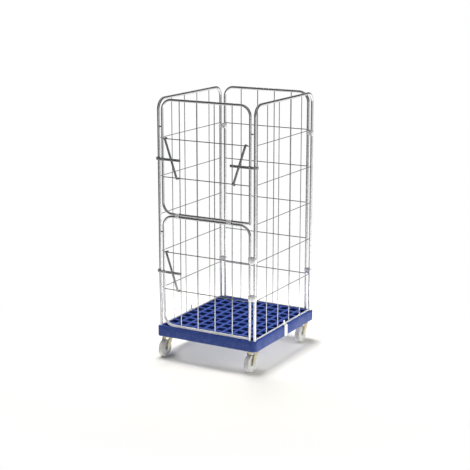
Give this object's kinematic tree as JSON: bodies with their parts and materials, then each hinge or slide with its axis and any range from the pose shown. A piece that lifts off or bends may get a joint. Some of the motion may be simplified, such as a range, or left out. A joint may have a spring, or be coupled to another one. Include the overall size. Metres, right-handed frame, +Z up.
{
  "type": "roll cage container",
  "caption": "Rolling wire cage for goods: plastic grid deck on swivel castors, wire side and back walls, hinged lower door and fold-down upper panel with lever latches.",
  "frame": {"origin": "centre of the footprint on the floor, under the wheels, at the middle of the bounding box", "axes": "+X to the right when facing the door, -Y out through the door, +Z up"},
  "size_m": [0.7252, 0.844, 1.66],
  "materials": {
    "bright_zinc": "bright zinc plating on round tube and wire, lightly uneven",
    "dark_zinc": "dull dark zinc plating on stamped strip",
    "yellow_zinc": "pale yellow passivated zinc on pressed castor parts",
    "blue_plastic": "blue moulded plastic, slightly glossy on the sides and matt on the deck",
    "white_nylon": "off-white nylon wheel, turned tread"
  },
  "bodies": {
    "cage": {"base_platform": "blue_plastic", "left_wall_frame": "bright_zinc", "left_wall_bottom_rail": "bright_zinc", "left_wall_wires": "bright_zinc", "right_wall_frame": "bright_zinc", "right_wall_bottom_rail": "bright_zinc", "right_wall_wires": "bright_zinc", "back_wall_frame": "bright_zinc", "back_wall_bottom_rail": "bright_zinc", "back_wall_wires": "bright_zinc", "left_upper_corner_clip": "bright_zinc", "left_lower_corner_clip": "bright_zinc", "right_upper_corner_clip": "bright_zinc", "right_lower_corner_clip": "bright_zinc", "front_left_castor_plate": "yellow_zinc", "front_left_castor_kingpin": "yellow_zinc", "front_right_castor_plate": "yellow_zinc", "front_right_castor_kingpin": "yellow_zinc", "rear_left_castor_plate": "yellow_zinc", "rear_left_castor_kingpin": "yellow_zinc", "rear_right_castor_plate": "yellow_zinc", "rear_right_castor_kingpin": "yellow_zinc"},
    "front_left_fork": {"front_left_castor_fork": "yellow_zinc", "front_left_castor_axle": "dark_zinc"},
    "front_left_wheel": {"front_left_castor_wheel": "white_nylon"},
    "front_right_fork": {"front_right_castor_fork": "yellow_zinc", "front_right_castor_axle": "dark_zinc"},
    "front_right_wheel": {"front_right_castor_wheel": "white_nylon"},
    "rear_left_fork": {"rear_left_castor_fork": "yellow_zinc", "rear_left_castor_axle": "dark_zinc"},
    "rear_left_wheel": {"rear_left_castor_wheel": "white_nylon"},
    "rear_right_fork": {"rear_right_castor_fork": "yellow_zinc", "rear_right_castor_axle": "dark_zinc"},
    "rear_right_wheel": {"rear_right_castor_wheel": "white_nylon"},
    "left_hook": {"left_side_hook": "bright_zinc"},
    "right_hook": {"right_side_hook": "bright_zinc"},
    "lower_door": {"lower_door_frame": "bright_zinc", "lower_door_wires": "bright_zinc", "upper_door_hinge_clip": "bright_zinc", "lower_door_hinge_clip": "bright_zinc", "lower_left_bar_guide": "bright_zinc", "lower_left_stop": "dark_zinc"},
    "fold_clips": {"left_fold_clip": "bright_zinc", "right_fold_clip": "bright_zinc"},
    "upper_panel": {"upper_panel_frame": "bright_zinc", "upper_panel_wires": "bright_zinc", "upper_left_bar_guide": "bright_zinc", "upper_right_bar_guide": "bright_zinc", "upper_left_stop": "dark_zinc", "upper_right_stop": "dark_zinc"},
    "upper_left_lever": {"upper_left_latch_lever": "dark_zinc"},
    "upper_left_bar": {"upper_left_lock_bar": "dark_zinc", "upper_left_latch_rivet": "dark_zinc"},
    "upper_right_lever": {"upper_right_latch_lever": "dark_zinc"},
    "upper_right_bar": {"upper_right_lock_bar": "dark_zinc", "upper_right_latch_rivet": "dark_zinc"},
    "lower_left_lever": {"lower_left_latch_lever": "dark_zinc"},
    "lower_left_bar": {"lower_left_lock_bar": "dark_zinc", "lower_left_latch_rivet": "dark_zinc"}
  },
  "joints": [
    {"name": "front_left_swivel", "type": "hinge", "parent": "cage", "child": "front_left_fork", "pos_m": [-0.312, -0.33, 0.124], "axis": [0, 0, 1], "continuous": true},
    {"name": "front_left_roll", "type": "hinge", "parent": "front_left_fork", "child": "front_left_wheel", "pos_m": [-0.312, -0.368, 0.054], "axis": [1, 0, 0], "continuous": true},
    {"name": "front_right_swivel", "type": "hinge", "parent": "cage", "child": "front_right_fork", "pos_m": [0.312, -0.33, 0.124], "axis": [0, 0, 1], "continuous": true},
    {"name": "front_right_roll", "type": "hinge", "parent": "front_right_fork", "child": "front_right_wheel", "pos_m": [0.312, -0.368, 0.054], "axis": [1, 0, 0], "continuous": true},
    {"name": "rear_left_swivel", "type": "hinge", "parent": "cage", "child": "rear_left_fork", "pos_m": [-0.312, 0.364, 0.124], "axis": [0, 0, 1], "continuous": true},
    {"name": "rear_left_roll", "type": "hinge", "parent": "rear_left_fork", "child": "rear_left_wheel", "pos_m": [-0.312, 0.326, 0.054], "axis": [1, 0, 0], "continuous": true},
    {"name": "rear_right_swivel", "type": "hinge", "parent": "cage", "child": "rear_right_fork", "pos_m": [0.312, 0.364, 0.124], "axis": [0, 0, 1], "continuous": true},
    {"name": "rear_right_roll", "type": "hinge", "parent": "rear_right_fork", "child": "rear_right_wheel", "pos_m": [0.312, 0.326, 0.054], "axis": [1, 0, 0], "continuous": true},
    {"name": "left_hook_swing", "type": "hinge", "parent": "cage", "child": "left_hook", "pos_m": [-0.34, 0.017, 0.205], "axis": [0, 1, 0], "range_deg": [0, 55]},
    {"name": "right_hook_swing", "type": "hinge", "parent": "cage", "child": "right_hook", "pos_m": [0.34, 0.017, 0.205], "axis": [0, -1, 0], "range_deg": [0, 55]},
    {"name": "lower_door_swing", "type": "hinge", "parent": "cage", "child": "lower_door", "pos_m": [0.34, -0.363, 0.57], "axis": [0, 0, 1], "range_deg": [0, 120]},
    {"name": "clip_swing", "type": "hinge", "parent": "lower_door", "child": "fold_clips", "pos_m": [0, -0.369, 0.922], "axis": [1, 0, 0], "range_deg": [0, 86]},
    {"name": "panel_fold", "type": "hinge", "parent": "fold_clips", "child": "upper_panel", "pos_m": [0, -0.369, 0.939], "axis": [1, 0, 0], "range_deg": [0, 86]},
    {"name": "upper_left_lever_swing", "type": "hinge", "parent": "upper_panel", "child": "upper_left_lever", "pos_m": [-0.283, -0.373, 1.41083], "axis": [0, 1, 0], "range_deg": [0, 18]},
    {"name": "upper_left_bar_slide", "type": "slide", "parent": "upper_panel", "child": "upper_left_bar", "axis": [-1, 0, 0], "range_m": [0, 0.043]},
    {"name": "upper_right_lever_swing", "type": "hinge", "parent": "upper_panel", "child": "upper_right_lever", "pos_m": [0.283, -0.373, 1.41083], "axis": [0, -1, 0], "range_deg": [0, 18]},
    {"name": "upper_right_bar_slide", "type": "slide", "parent": "upper_panel", "child": "upper_right_bar", "axis": [1, 0, 0], "range_m": [0, 0.043]},
    {"name": "lower_left_lever_swing", "type": "hinge", "parent": "lower_door", "child": "lower_left_lever", "pos_m": [-0.283, -0.373, 0.69033], "axis": [0, 1, 0], "range_deg": [0, 18]},
    {"name": "lower_left_bar_slide", "type": "slide", "parent": "lower_door", "child": "lower_left_bar", "axis": [-1, 0, 0], "range_m": [0, 0.043]}
  ],
  "couplings": [
    {"joint": "clip_swing", "follows": "panel_fold", "ratio": 1},
    {"joint": "upper_left_bar_slide", "follows": "upper_left_lever_swing", "m_per_rad": 0.1332},
    {"joint": "upper_right_bar_slide", "follows": "upper_right_lever_swing", "m_per_rad": 0.1332},
    {"joint": "lower_left_bar_slide", "follows": "lower_left_lever_swing", "m_per_rad": 0.1332}
  ]
}
